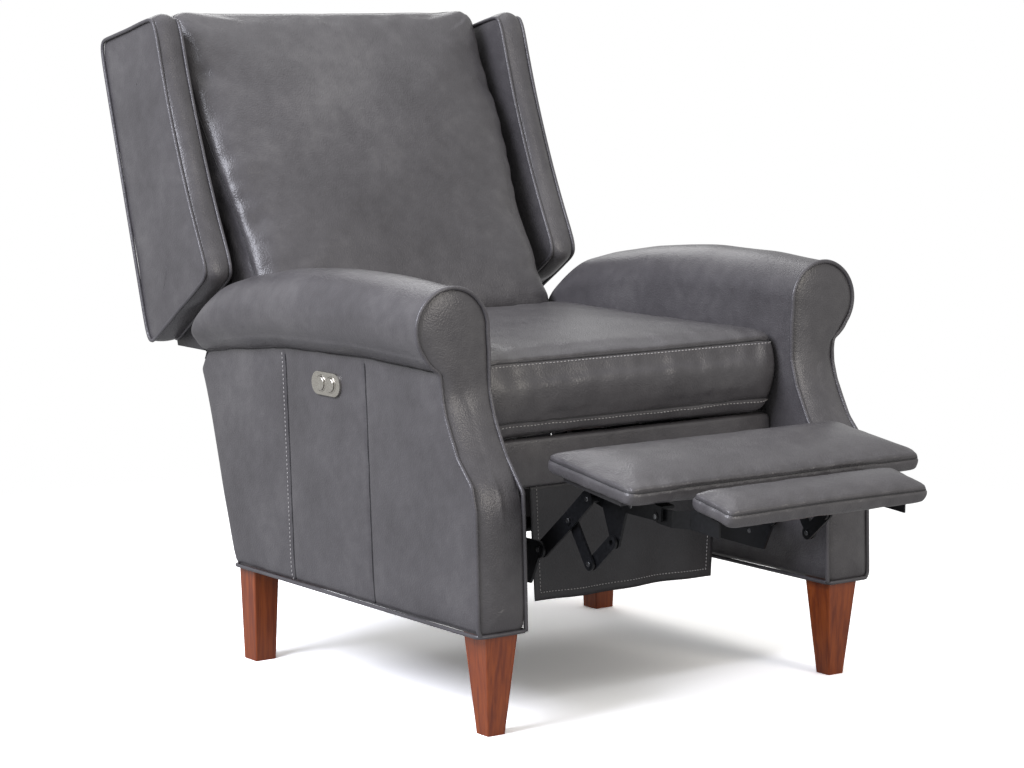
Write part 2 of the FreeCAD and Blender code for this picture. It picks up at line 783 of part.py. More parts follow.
# The drive lies on the two cross tubes, its tube held at the front by a saddle.
along_y = Vector(0, 1, 0)
drive_z = tube_z + cross_tube_radius + clearance + motor_radius
motor_front_y = rear_tube_y - motor_length / 2
parts["drive_motor"] = Part.makeCylinder(motor_radius, motor_length, Vector(0, motor_front_y, drive_z), along_y)
parts["drive_saddle"] = block(
    (-carriage_half_width, front_tube_y - cross_tube_radius, tube_z + cross_tube_radius + clearance),
    (carriage_half_width, front_tube_y + cross_tube_radius, drive_z + carriage_half_width),
)
tube_front_y = front_tube_y + cross_tube_radius + clearance
tube_length = motor_front_y - clearance - tube_front_y
tube_start = Vector(0, tube_front_y, drive_z)
parts["drive_tube"] = Part.makeCylinder(drive_tube_radius, tube_length, tube_start, along_y)
carriage = block((-carriage_half_width, tube_front_y + clearance, drive_z - carriage_half_width),
                 (carriage_half_width, tube_front_y + carriage_length, drive_z + carriage_half_width))
bore = Part.makeCylinder(drive_tube_radius + running_clearance, tube_length, tube_start, along_y)
parts["drive_carriage"] = carriage.cut(bore)

# The origin is on the floor, half way between the extension pad's front and the wings' back.
lows = [solid.BoundBox.YMin for solid in parts.values()]
highs = [solid.BoundBox.YMax for solid in parts.values()]
middle_y = (min(lows) + max(highs)) / 2
os.makedirs("parts", exist_ok=True)
for name, solid in parts.items():
    solid.translate(Vector(0, -middle_y, 0))
    solid.exportStep("parts/" + name + ".step")
print("middle_y", round(middle_y, 4))
print("parts", len(parts), "solids", sum(len(solid.Solids) for solid in parts.values()))
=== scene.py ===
import bpy
import bmesh
import json
import math
from mathutils import Matrix, Vector, noise
from mathutils.bvhtree import BVHTree
from mathutils.kdtree import KDTree


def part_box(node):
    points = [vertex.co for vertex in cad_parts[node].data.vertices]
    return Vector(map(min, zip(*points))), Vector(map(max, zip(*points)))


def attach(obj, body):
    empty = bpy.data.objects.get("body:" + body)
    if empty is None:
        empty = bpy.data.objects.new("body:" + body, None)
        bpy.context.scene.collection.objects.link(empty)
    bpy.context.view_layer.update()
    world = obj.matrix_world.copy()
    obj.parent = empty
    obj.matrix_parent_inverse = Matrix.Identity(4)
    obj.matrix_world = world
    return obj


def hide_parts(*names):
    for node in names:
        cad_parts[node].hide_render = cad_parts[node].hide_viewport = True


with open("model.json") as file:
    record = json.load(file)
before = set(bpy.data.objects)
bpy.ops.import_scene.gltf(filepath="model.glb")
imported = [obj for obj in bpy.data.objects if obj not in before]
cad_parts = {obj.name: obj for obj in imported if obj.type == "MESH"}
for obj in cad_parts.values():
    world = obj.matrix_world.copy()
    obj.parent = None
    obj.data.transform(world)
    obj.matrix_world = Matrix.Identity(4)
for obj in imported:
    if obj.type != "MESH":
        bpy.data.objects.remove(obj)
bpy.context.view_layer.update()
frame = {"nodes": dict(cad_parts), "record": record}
print("frame loaded", len(frame["nodes"]), "nodes")

# Places below are (x, y, z) in mm, with y counted back from the arms' front face.
frontToOrigin = 378.5911


def place(x, y, z):
    return Vector((x, y - frontToOrigin, z)) / 1000


def lerp(low, high, share):
    return low + (high - low) * share


def table(value, rows):
    # reads a short table of (value, answer) rows, straight between them
    if value <= rows[0][0]:
        return rows[0][1]
    for (a, fa), (b, fb) in zip(rows, rows[1:]):
        if value <= b:
            return lerp(fa, fb, (value - a) / (b - a))
    return rows[-1][1]


def smooth(share):
    share = max(0.0, min(1.0, share))
    return share * share * (3 - 2 * share)


def hexColor(text, alpha=1.0):
    channels = []
    for start in (1, 3, 5):
        value = int(text[start:start + 2], 16) / 255
        channels.append(value / 12.92 if value <= 0.04045 else ((value + 0.055) / 1.055) ** 2.4)
    return (*channels, alpha)


def addNode(tree, kind, settings=None, links=None):
    # settings go to the node or, if it has none of that name, to its sockets; links are {socket: output}
    node = tree.nodes.new(kind)
    for key, value in (settings or {}).items():
        if isinstance(key, str) and hasattr(node, key):
            setattr(node, key, value)
        else:
            node.inputs[key].default_value = value
    for key, output in (links or {}).items():
        tree.links.new(output, node.inputs[key])
    return node


def newMaterial(name):
    material = bpy.data.materials.new(name)
    material.use_nodes = True
    tree = material.node_tree
    tree.nodes.clear()
    shader = addNode(tree, "ShaderNodeBsdfPrincipled")
    addNode(tree, "ShaderNodeOutputMaterial", None, {"Surface": shader.outputs["BSDF"]})
    where = addNode(tree, "ShaderNodeTexCoord").outputs["Object"]
    return material, tree, shader, where


def colorRamp(tree, factor, stops):
    ramp = addNode(tree, "ShaderNodeValToRGB", None, {"Fac": factor})
    elements = ramp.color_ramp.elements
    for index, (position, color) in enumerate(stops):
        element = elements[index] if index < 2 else elements.new(position)
        element.position = position
        element.color = hexColor(color)
    return ramp.outputs["Color"]


def joinLooks(tree, shader, color, roughness, factor, bump, height):
    # colour, a range of roughness that follows factor, and a bump of (strength, depth in m)
    tree.links.new(color, shader.inputs["Base Color"])
    rough = addNode(tree, "ShaderNodeMapRange", {"To Min": roughness[0], "To Max": roughness[1]},
                    {"Value": factor})
    tree.links.new(rough.outputs["Result"], shader.inputs["Roughness"])
    relief = addNode(tree, "ShaderNodeBump", {"Strength": bump[0], "Distance": bump[1]}, {"Height": height})
    tree.links.new(relief.outputs["Normal"], shader.inputs["Normal"])


cloudMm, mottleMm, creaseMm = 150, 22, 14


def leather(name, dark, middle, light, roughness, grainMm=2.6):
    # Corrected-grain upholstery leather, drum dyed and rolled: fine pebble, slow cloudy shading, soft shine.
    # The real pebble is near 1 mm and is drawn at 2.6 mm so that it shows at this distance.
    material, tree, shader, where = newMaterial(name)
    cloud = addNode(tree, "ShaderNodeTexNoise", {"Scale": 1000 / cloudMm, "Detail": 4, "Roughness": 0.55},
                    {"Vector": where})
    mottle = addNode(tree, "ShaderNodeTexNoise", {"Scale": 1000 / mottleMm, "Detail": 3, "Roughness": 0.6},
                     {"Vector": where})
    mix = addNode(tree, "ShaderNodeMath", {"operation": "MULTIPLY_ADD", 1: 0.5},
                  {0: mottle.outputs["Fac"], 2: cloud.outputs["Fac"]})
    shifted = addNode(tree, "ShaderNodeMath", {"operation": "SUBTRACT", 1: 0.25}, {0: mix.outputs[0]})
    color = colorRamp(tree, shifted.outputs[0], [(0.2, dark), (0.8, light), (0.5, middle)])
    pebble = addNode(tree, "ShaderNodeTexVoronoi",
                     {"feature": "SMOOTH_F1", "Scale": 1000 / grainMm, "Smoothness": 0.6}, {"Vector": where})
    pores = addNode(tree, "ShaderNodeTexNoise", {"Scale": 1000 / (grainMm * 0.6), "Detail": 2},
                    {"Vector": where})
    crease = addNode(tree, "ShaderNodeTexNoise", {"Scale": 1000 / creaseMm, "Detail": 3, "Distortion": 0.6},
                     {"Vector": where})
    height = addNode(tree, "ShaderNodeMath", {"operation": "MULTIPLY_ADD", 1: 0.5},
                     {0: pores.outputs["Fac"], 2: pebble.outputs["Distance"]})
    height = addNode(tree, "ShaderNodeMath", {"operation": "MULTIPLY_ADD", 1: 1.1},
                     {0: crease.outputs["Fac"], 2: height.outputs[0]})
    joinLooks(tree, shader, color, roughness, mottle.outputs["Fac"], (0.32, 0.0011), height.outputs[0])
    shader.inputs["IOR"].default_value = 1.5
    return material


def enamelledMetal(name, dark, light, metallic, roughness, sizeMm):
    # A plain sheet or cast metal surface with faint clouding and orange peel.
    material, tree, shader, where = newMaterial(name)
    cloud = addNode(tree, "ShaderNodeTexNoise", {"Scale": 1000 / sizeMm, "Detail": 3}, {"Vector": where})
    clouding = cloud.outputs["Fac"]
    color = colorRamp(tree, clouding, [(0.3, dark), (0.7, light)])
    joinLooks(tree, shader, color, roughness, clouding, (0.25, 0.00004), clouding)
    shader.inputs["Metallic"].default_value = metallic
    return material


def timber(name, dark, light, grainMm, coat, roughness):
    # Straight-grained wood with its grain up the leg; growth lines a few mm apart and fine pores.
    material, tree, shader, where = newMaterial(name)
    along = addNode(tree, "ShaderNodeMapping", {"Scale": (1.0, 1.0, 0.06)}, {"Vector": where})
    lines = addNode(tree, "ShaderNodeTexNoise", {"Scale": 1000 / grainMm, "Detail": 4, "Distortion": 0.4},
                    {"Vector": along.outputs[0]})
    pores = addNode(tree, "ShaderNodeTexNoise", {"Scale": 1000 / (grainMm * 0.3), "Detail": 2},
                    {"Vector": along.outputs[0]})
    mix = addNode(tree, "ShaderNodeMath", {"operation": "MULTIPLY_ADD", 1: 0.3, 2: -0.15},
                  {0: pores.outputs["Fac"]})
    total = addNode(tree, "ShaderNodeMath", {"operation": "ADD"},
                    {0: mix.outputs[0], 1: lines.outputs["Fac"]}).outputs[0]
    color = colorRamp(tree, total, [(0.32, dark), (0.68, light)])
    joinLooks(tree, shader, color, roughness, total, (0.2, 0.0002), total)
    shader.inputs["Coat Weight"].default_value = coat
    shader.inputs["Coat Roughness"].default_value = 0.18
    return material


greyLeather = leather("greyCorrectedGrainLeather", "#424042", "#4e4c4e", "#5d5b5c", (0.28, 0.39))
weltLeather = leather("greyWeltLeather", "#434144", "#4e4c4f", "#5b595c", (0.28, 0.38), 2.0)
# painted shade: a darker copy of the grey leather, for frame parts and the front flap that sit in shadow
shadeLeather = leather("paintedShadeLeather", "#2b2a2c", "#323133", "#3a393b", (0.38, 0.5))
# painted shade: a near-black copy of the leather for the cords laid in seams
seamShadeLeather = leather("shadedSeamLeather", "#232224", "#2a292b", "#313032", (0.45, 0.55), 2.0)
threadGrey = enamelledMetal("bondedNylonThread", "#a09d9c", "#bebbb9", 0.0, (0.55, 0.7), 1.5)
blackSteel = enamelledMetal("blackPowderCoatedSteel", "#101113", "#1b1c1f", 0.35, (0.34, 0.46), 5)
brightRivet = enamelledMetal("zincPlatedRivet", "#6f7072", "#8d8e8f", 1.0, (0.3, 0.42), 3)
springSteel = enamelledMetal("drawnSpringSteel", "#4c4d4f", "#68696b", 1.0, (0.3, 0.45), 4)
satinNickel = enamelledMetal("satinNickelPlate", "#b4b0a8", "#cfccc5", 1.0, (0.2, 0.3), 2)
motorPlastic = enamelledMetal("mouldedAbs", "#1a1b1c", "#242527", 0.0, (0.45, 0.55), 1.2)
cherryWood = timber("stainedCherryLacquered", "#6e2b09", "#964715", 7, 0.35, (0.34, 0.46))
frameWood = timber("rawPoplarFrame", "#a98a63", "#c7ab83", 9, 0.0, (0.6, 0.75))

slotMaterials = {
    "leather": greyLeather, "cherry_wood": cherryWood, "frame_wood": frameWood, "black_steel": blackSteel,
    "spring_steel": springSteel, "nickel": satinNickel, "motor_plastic": motorPlastic,
}
for part in frame["record"]["subparts"]:
    node = frame["nodes"][part["node"]]
    finish = slotMaterials[part["material_slot"]]
    if not node.material_slots:
        node.data.materials.append(finish)
    for materialSlot in node.material_slots:
        materialSlot.material = finish
# frame parts that show take the darker leather copy, painted shade
for name in ("back_post_left", "back_post_right", "back_cap", "footrest_board", "side_rail_left",
             "side_rail_right", "back_top_rail", "rear_rail"):
    for materialSlot in frame["nodes"][name].material_slots:
        materialSlot.material = shadeLeather
print("materials made")


def finishPiece(bm, name, body, material, levels=0):
    bmesh.ops.remove_doubles(bm, verts=bm.verts, dist=0.00002)
    bmesh.ops.recalc_face_normals(bm, faces=bm.faces)
    for face in bm.faces:
        face.smooth = True
    mesh = bpy.data.meshes.new(name)
    bm.to_mesh(mesh)
    bm.free()
    piece = bpy.data.objects.new(name, mesh)
    bpy.context.collection.objects.link(piece)
    mesh.materials.append(material)
    if levels:
        subdivide(piece, levels)
    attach(piece, body)
    return piece


def subdivide(piece, levels):
    modifier = piece.modifiers.new("Subdivision", "SUBSURF")
    modifier.levels = levels
    modifier.render_levels = levels


def settle(piece):
    # applies the modifiers, so that seams and threads can be laid on the real surface
    bpy.context.view_layer.update()
    evaluated = piece.evaluated_get(bpy.context.evaluated_depsgraph_get())
    mesh = bpy.data.meshes.new_from_object(evaluated)
    piece.modifiers.clear()
    piece.data = mesh


def skin(rings, facing):
    # one loop of vertices pulled from ring to ring by extruding its edges, closed at both ends
    bm = bmesh.new()
    loop = [bm.verts.new(point) for point in rings[0]]
    count = len(loop)
    edges = [bm.edges.new((loop[i], loop[(i + 1) % count])) for i in range(count)]
    bmesh.ops.triangle_fill(bm, use_beauty=True, edges=edges, normal=facing)
    for ring in rings[1:]:
        pulled = bmesh.ops.extrude_edge_only(bm, edges=edges)
        fresh = {tuple(round(c, 7) for c in v.co): v for v in pulled["geom"]
                 if isinstance(v, bmesh.types.BMVert)}
        loop = [fresh[tuple(round(c, 7) for c in vertex.co)] for vertex in loop]
        for vertex, point in zip(loop, ring):
            vertex.co = point
        edges = [bm.edges.get((loop[i], loop[(i + 1) % count])) for i in range(count)]
    bmesh.ops.triangle_fill(bm, use_beauty=True, edges=edges, normal=facing)
    return bm


def resample(points, pitchMm, closed=False):
    track = list(points) + ([points[0]] if closed else [])
    lengths = [(b - a).length for a, b in zip(track, track[1:])]
    total = sum(lengths)
    count = max(2, round(total * 1000 / pitchMm))
    out = []
    index, walked = 0, 0.0
    for step in range(count if closed else count + 1):
        target = total * step / count
        while index < len(lengths) - 1 and walked + lengths[index] < target:
            walked += lengths[index]
            index += 1
        share = (target - walked) / max(lengths[index], 1e-9)
        out.append(track[index].lerp(track[index + 1], min(1.0, share)))
    return out


def surfaceOf(piece, turn=None):
    bm = bmesh.new()
    bm.from_mesh(piece.data)
    if turn is not None:
        bmesh.ops.transform(bm, matrix=turn, verts=bm.verts)
    tree = BVHTree.FromBMesh(bm)
    bm.free()
    return tree


seamStepMm = 1.5


def seamFinder(points, closed):
    # answers how near a place is to a line, and at which of the line's steps
    track = resample(points, seamStepMm, closed)
    finder = KDTree(len(track))
    for index, point in enumerate(track):
        finder.insert(point, index)
    finder.balance()
    return finder


def moveOut(piece, amountAt):
    # moves each vertex out along its normal by what amountAt says in mm
    moves = [(vertex, vertex.normal * (amountAt(vertex) / 1000)) for vertex in piece.data.vertices]
    for vertex, move in moves:
        vertex.co += move
    piece.data.update()


def carve(piece, points, depthMm, reachMm, closed=False):
    # presses a seam into the cover along a line
    finder = seamFinder(points, closed)

    def amount(vertex):
        share = finder.find(vertex.co)[2] * 1000 / reachMm
        return -depthMm * (1 - share ** 2) ** 2 if share < 1 else 0.0
    moveOut(piece, amount)


def rumple(piece, amountMm, sizeMm, seed):
    # slow uneven stuffing under the cover
    def amount(vertex):
        spot = vertex.co * (1000 / sizeMm) + Vector((seed * 7.3, seed * 3.1, seed * 1.7))
        return (noise.noise(spot) + 0.4 * noise.noise(spot * 2.3)) * amountMm
    moveOut(piece, amount)


puckerSettings = {"seedStep": 5.7, "drift": 0.8, "early": 0.6, "fade": 0.5}


def pucker(piece, points, depthMm, pitchMm, reachMm, seed, closed=False):
    # small pulls that run out square from a seam and die away
    s = puckerSettings
    finder = seamFinder(points, closed)

    def amount(vertex):
        index, distance = finder.find(vertex.co)[1:]
        away = distance * 1000 / reachMm
        if away >= 1:
            return 0.0
        wave = noise.noise(Vector((index * seamStepMm / pitchMm, seed * s["seedStep"], away * s["drift"])))
        return wave * depthMm * math.sin(math.pi * away ** s["early"]) * (1 - away * s["fade"])
    moveOut(piece, amount)


threadSettings = {"pitch": 6.6, "length": 4.7, "thread": 1.5, "raised": 0.2, "batch": 60}


def stitches(name, points, piece, body, closed=False, own=None):
    # separate threads laid on the cover; own holds a piece's own sizes in mm
    s = {**threadSettings, **(own or {})}
    surface = surfaceOf(piece)
    track = resample(points, s["pitch"], closed)
    size = Matrix.Diagonal((s["length"] / 2000, s["thread"] / 2000, s["thread"] / 2000, 1))
    mesh = bpy.data.meshes.new(name + "Parts")
    bm = bmesh.new()
    for index, point in enumerate(track):
        if (index + 1) % s["batch"] == 0:
            # a short list stays quick, so finished threads are set aside in the mesh
            bm.from_mesh(mesh)
            bm.to_mesh(mesh)
            bm.free()
            bm = bmesh.new()
        if closed or index + 1 < len(track):
            after = track[(index + 1) % len(track)]
        else:
            after = point * 2 - track[index - 1]
        near, normal = surface.find_nearest(point)[:2]
        along = (after - point).normalized()
        across = normal.cross(along).normalized()
        turn = Matrix((along, across, normal)).transposed().to_4x4()
        spot = Matrix.Translation(near + normal * s["thread"] * s["raised"] / 1000)
        bmesh.ops.create_icosphere(bm, subdivisions=1, radius=1, matrix=spot @ turn @ size)
    bm.from_mesh(mesh)
    bpy.data.meshes.remove(mesh)
    return finishPiece(bm, name, body, threadGrey)


cordSettings = {"pathMm": 6, "searchMm": 7, "seamRadius": 1.0, "seamRaised": 0.2}


def welt(name, points, radiusMm, body, closed=False, material=weltLeather):
    # a cord sewn into a leather strip, laid along an edge
    track = resample(points, cordSettings["pathMm"], closed)
    curve = bpy.data.curves.new(name + "Path", "CURVE")
    curve.dimensions = "3D"
    spline = curve.splines.new("NURBS")
    spline.points.add(len(track) - 1)
    for target, point in zip(spline.points, track):
        target.co = (*point, 1)
    spline.order_u = 3
    spline.use_cyclic_u = closed
    spline.use_endpoint_u = not closed
    spline.resolution_u = 2
    curve.bevel_depth = radiusMm / 1000
    curve.bevel_resolution = 2
    curve.use_fill_caps = not closed
    source = bpy.data.objects.new(name + "Path", curve)
    bpy.context.collection.objects.link(source)
    bpy.context.view_layer.update()
    mesh = bpy.data.meshes.new_from_object(source.evaluated_get(bpy.context.evaluated_depsgraph_get()))
    bpy.data.objects.remove(source)
    bm = bmesh.new()
    bm.from_mesh(mesh)
    bpy.data.meshes.remove(mesh)
    return finishPiece(bm, name, body, material)


def seamShadeCord(name, points, piece, body, closed=False):
    # a thin near-black cord laid along a sewn seam: painted shade for the shadow in the seam's groove
    surface = surfaceOf(piece)
    places = [surface.find_nearest(point)[:2] for point in resample(points, cordSettings["searchMm"], closed)]
    track = [near + normal * cordSettings["seamRaised"] / 1000 for near, normal in places]
    return welt(name, track, cordSettings["seamRadius"], body, closed, seamShadeLeather)


clothSettings = {
    "use_pressure": True, "quality": 5,
    "tension_stiffness": 30, "compression_stiffness": 30, "bending_stiffness": 4,
}
swellSettings = {"frames": 20, "smoothing": 0.5}


def swell(piece, settings):
    # stuffs a piece: remesh, cloth under pressure, movement capped, then smoothed
    if not settings.get("pressure"):
        return
    settle(piece)
    remesh = piece.modifiers.new("Remesh", "REMESH")
    remesh.mode = "VOXEL"
    remesh.voxel_size = settings["voxelMm"] / 1000
    settle(piece)
    before = [vertex.co.copy() for vertex in piece.data.vertices]
    cloth = piece.modifiers.new("Cloth", "CLOTH")
    for key, value in clothSettings.items():
        setattr(cloth.settings, key, value)
    cloth.settings.uniform_pressure_force = settings["pressure"]
    cloth.settings.effector_weights.gravity = 0
    cloth.collision_settings.use_collision = False
    scene = bpy.context.scene
    for number in range(1, swellSettings["frames"] + 1):
        scene.frame_set(number)
    settle(piece)
    cap = settings["capMm"] / 1000
    for vertex, old in zip(piece.data.vertices, before):
        move = vertex.co - old
        if move.length > cap:
            vertex.co = old + move * (cap / move.length)
    scene.frame_set(1)
    piece.data.update()
    bm = bmesh.new()
    bm.from_mesh(piece.data)
    bmesh.ops.smooth_vert(bm, verts=bm.verts, factor=swellSettings["smoothing"],
                          use_axis_x=True, use_axis_y=True, use_axis_z=True)
    for face in bm.faces:
        face.smooth = True
    bm.to_mesh(piece.data)
    bm.free()


outlineSettings = {"points": 120, "cornerSteps": 6, "drawPower": 8}


def padOutline(halfWidth, length, corner, drawMm):
    # plan outline of a cushion as (x, u): rounded corners, sides drawn in between them
    steps, power = outlineSettings["cornerSteps"], outlineSettings["drawPower"]
    runs = []
    spots = [(halfWidth - corner, corner, -90), (halfWidth - corner, length - corner, 0),
             (-halfWidth + corner, length - corner, 90), (-halfWidth + corner, corner, 180)]
    for cx, cu, start in spots:
        for step in range(steps + 1):
            angle = math.radians(start + 90 * step / steps)
            runs.append(Vector((cx + corner * math.cos(angle), cu + corner * math.sin(angle), 0)))
    roundTrip = 4 * halfWidth + 2 * length
    even = resample([point / 1000 for point in runs], roundTrip / outlineSettings["points"], True)
    outline = []
    for point in even:
        x, u = point.x * 1000, point.y * 1000
        waistU = 1 - (2 * u / length - 1) ** 2
        waistX = 1 - (x / halfWidth) ** 2
        x -= math.copysign(drawMm * waistU, x) * (abs(x) / halfWidth) ** power
        toward = 2 * u / length - 1
        u -= math.copysign(drawMm * waistX, toward) * abs(toward) ** power
        outline.append((x, u))
    return outline


# where the rings lie along each stretch of a pad's section
ringShares = {
    "under": (0.94, 0.7, 0.45, 0.22), "turn": (0.0, 0.33, 0.66, 1.0), "side": (0.2, 0.4, 0.6, 0.8),
    "top": (0.05, 0.12, 0.2, 0.3, 0.42, 0.55, 0.68, 0.82, 0.94),
}


def padEdge(s, toPlace, inset, t):
    # the pad's outline, drawn in by inset, at height t over its underside
    outline = padOutline(s["halfWidth"], s["length"], s["corner"], s["draw"])
    middle = s["length"] / 2
    squeezeX, squeezeU = 1 - inset / s["halfWidth"], 1 - inset / middle
    line = []
    for x, u in outline:
        wide = s["width"](u) if "width" in s else 1.0
        line.append(toPlace(x * squeezeX * wide, middle + (u - middle) * squeezeU, t))
    return line


def padRings(s, toPlace):
    # rings from the middle of the underside, out round the boxing and in over the crown
    half = min(s["halfWidth"], s["length"] / 2)
    thick, roundMm = s["thickness"], s["edge"]
    lowRise, lowIn = s.get("under", (roundMm, roundMm))
    steps = [(half * share, 0.0) for share in ringShares["under"]]
    for share in ringShares["turn"]:
        angle = math.pi / 2 * share
        steps.append((lowIn * (1 - math.sin(angle)), lowRise * (1 - math.cos(angle))))
    for share in ringShares["side"]:
        bulge = s["sideBulge"] * math.sin(math.pi * share)
        steps.append((-bulge, lerp(lowRise, thick - roundMm, share)))
    for share in ringShares["turn"]:
        angle = math.pi / 2 * share
        steps.append((roundMm * (1 - math.cos(angle)), thick - roundMm + roundMm * math.sin(angle)))
    for share in ringShares["top"]:
        rise = s["crown"] * (1 - (1 - share) ** s.get("crownPower", 2.0))
        steps.append((roundMm + (half - roundMm) * share, thick + rise))
    return [padEdge(s, toPlace, inset, t) for inset, t in steps]


def makePad(name, s, toPlace, body, replaces, seed):
    facing = (toPlace(0, s["length"] / 2, 100) - toPlace(0, s["length"] / 2, 0)).normalized()
    piece = finishPiece(skin(padRings(s, toPlace), facing), name, body, greyLeather, 1)
    swell(piece, s)
    if not piece.modifiers:
        subdivide(piece, 1)
    settle(piece)
    rumple(piece, s["rumple"], s["rumpleSize"], seed)
    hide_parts(*replaces)
    return piece


seatSettings = {
    "halfWidth": 284, "length": 546, "thickness": 124, "corner": 14, "draw": 1, "edge": 5, "sideBulge": 8,
    "crown": 17, "crownPower": 2.6, "under": (22, 15), "rumple": 1.1, "rumpleSize": 110, "fill": 0.75,
    "frontY": 117, "bottomZ": 405, "pressure": 1.5, "capMm": 3.5, "voxelMm": 6.5,
    "topSeamDown": 9, "lowSeamUp": 23, "seamDepth": 2.8, "seamReach": 6, "threadBelow": 5,
    "topPucker": (3.4, 30, 75), "lowPucker": (3.0, 34, 40),
}


def seatPlace(x, u, t):
    return place(x, seatSettings["frontY"] + u, seatSettings["bottomZ"] + t)


seatCushion = makePad("seatCushionCover", seatSettings, seatPlace, "base", ["seat_cushion"], 1)
s = seatSettings
seatTop = padEdge(s, seatPlace, 0, s["thickness"] - s["topSeamDown"])
seatLow = padEdge(s, seatPlace, 0, s["lowSeamUp"])
pucker(seatCushion, seatTop, *s["topPucker"], 1, True)
pucker(seatCushion, seatLow, *s["lowPucker"], 2, True)
for label, edge in (("Top", seatTop), ("Low", seatLow)):
    carve(seatCushion, edge, s["seamDepth"], s["seamReach"], True)
    # the dark cord along each seam is painted shade
    seamShadeCord("seatCushion" + label + "Seam", edge, seatCushion, "base", True)
    beside = [point - Vector((0, 0, s["threadBelow"] / 1000)) for point in edge]
    stitches("seatCushion" + label + "Stitches", beside, seatCushion, "base", True)
print("seat cushion done")

backSettings = {
    "halfWidth": 306, "length": 596, "thickness": 104, "crown": 25, "crownPower": 2.4, "corner": 22, "draw": 2,
    "edge": 20, "sideBulge": 4, "rumple": 1.8, "rumpleSize": 140, "fill": 0.7,
    "foot": (676, 512), "lean": 28.6, "rear": 108, "lowShare": 0.93, "lowTo": 150, "fullAt": 420,
    "pressure": 2.0, "capMm": 5, "voxelMm": 7,
    "seamIn": 2, "seamDown": 16, "seamDepth": 2.6, "seamReach": 6, "sideFrom": 270, "pucker": (5.0, 34, 90),
}
backSettings["width"] = lambda u: lerp(
    backSettings["lowShare"], 1.0,
    smooth((u - backSettings["lowTo"]) / (backSettings["fullAt"] - backSettings["lowTo"])))


def backPlace(x, u, t):
    # u runs up the lean, t comes forward from the rear of the cushion
    angle = math.radians(backSettings["lean"])
    forward = t - backSettings["rear"]
    footY, footZ = backSettings["foot"]
    return place(x, footY + u * math.sin(angle) - forward * math.cos(angle),
                 footZ + u * math.cos(angle) + forward * math.sin(angle))


backCushion = makePad("backCushionCover", backSettings, backPlace, "back", ["back_cushion"], 2)
s = backSettings
backSeam = padEdge(s, backPlace, s["seamIn"], s["thickness"] - s["seamDown"])
for side in (-1, 1):
    sideSeam = [point for point in backSeam if point.x * side > s["sideFrom"] / 1000]
    pucker(backCushion, sideSeam, *s["pucker"], 3 + side)
carve(backCushion, backSeam, s["seamDepth"], s["seamReach"], True)
seamShadeCord("backCushionSeamShade", backSeam, backCushion, "back", True)
print("back cushion done")

footrestSettings = {
    "halfWidth": 274, "length": 196, "thickness": 28, "crown": 16, "crownPower": 2.8, "corner": 8, "draw": 0.5,
    "edge": 6, "sideBulge": 1.0, "rumple": 0.7, "rumpleSize": 70, "fill": 0.85,
    "backPlace": (-27, 381), "tilt": 7.4, "pressure": 1.5, "capMm": 2, "voxelMm": 4,
}
extensionSettings = {
    "halfWidth": 186, "length": 89, "thickness": 28, "crown": 9, "crownPower": 2.6, "corner": 9, "draw": 0.5,
    "edge": 8, "sideBulge": 1.0, "rumple": 0.6, "rumpleSize": 60, "fill": 0.85,
    "backPlace": (-241, 349), "tilt": 11.0, "pressure": 1.5, "capMm": 2, "voxelMm": 4,
}


def restPlace(s):
    # u runs back from the pad's front edge, t up from its underside
    angle = math.radians(s["tilt"])
    backY, backZ = s["backPlace"]

    def onPad(x, u, t):
        along = u - s["length"]
        return place(x, backY + along * math.cos(angle) - t * math.sin(angle),
                     backZ + along * math.sin(angle) + t * math.cos(angle))
    return onPad


padSeams = {
    "inset": 0.5, "down": 6, "depth": 2.0, "reach": 4.5, "pucker": (1.6, 18, 34),
    "pleatIn": 5, "pleatDown": 1, "pleatStep": (3.2, 0.9), "pleatDepth": 1.2, "pleatReach": 4, "pleatPoints": 4,
}
for label, s, node, seed in (("footrest", footrestSettings, "footrest_pad", 3),
                             ("extension", extensionSettings, "extension_pad", 4)):
    onPad = restPlace(s)
    pad = makePad(label + "PadCover", s, onPad, label, [node], seed)
    edge = padEdge(s, onPad, padSeams["inset"], s["thickness"] - padSeams["down"])
    pucker(pad, edge, *padSeams["pucker"], seed, True)
    carve(pad, edge, padSeams["depth"], padSeams["reach"], True)
    seamShadeCord(label + "PadSeamShade", edge, pad, label, True)
    # folded leather pleats at the two front corners
    stepU, stepT = padSeams["pleatStep"]
    for side in (-1, 1):
        pleat = [onPad(side * (s["halfWidth"] - padSeams["pleatIn"]), padSeams["pleatIn"] + step * stepU,
                       s["thickness"] - padSeams["pleatDown"] + step * stepT)
                 for step in range(padSeams["pleatPoints"])]
        carve(pad, pleat, padSeams["pleatDepth"], padSeams["pleatReach"])
print("footrest pads done")

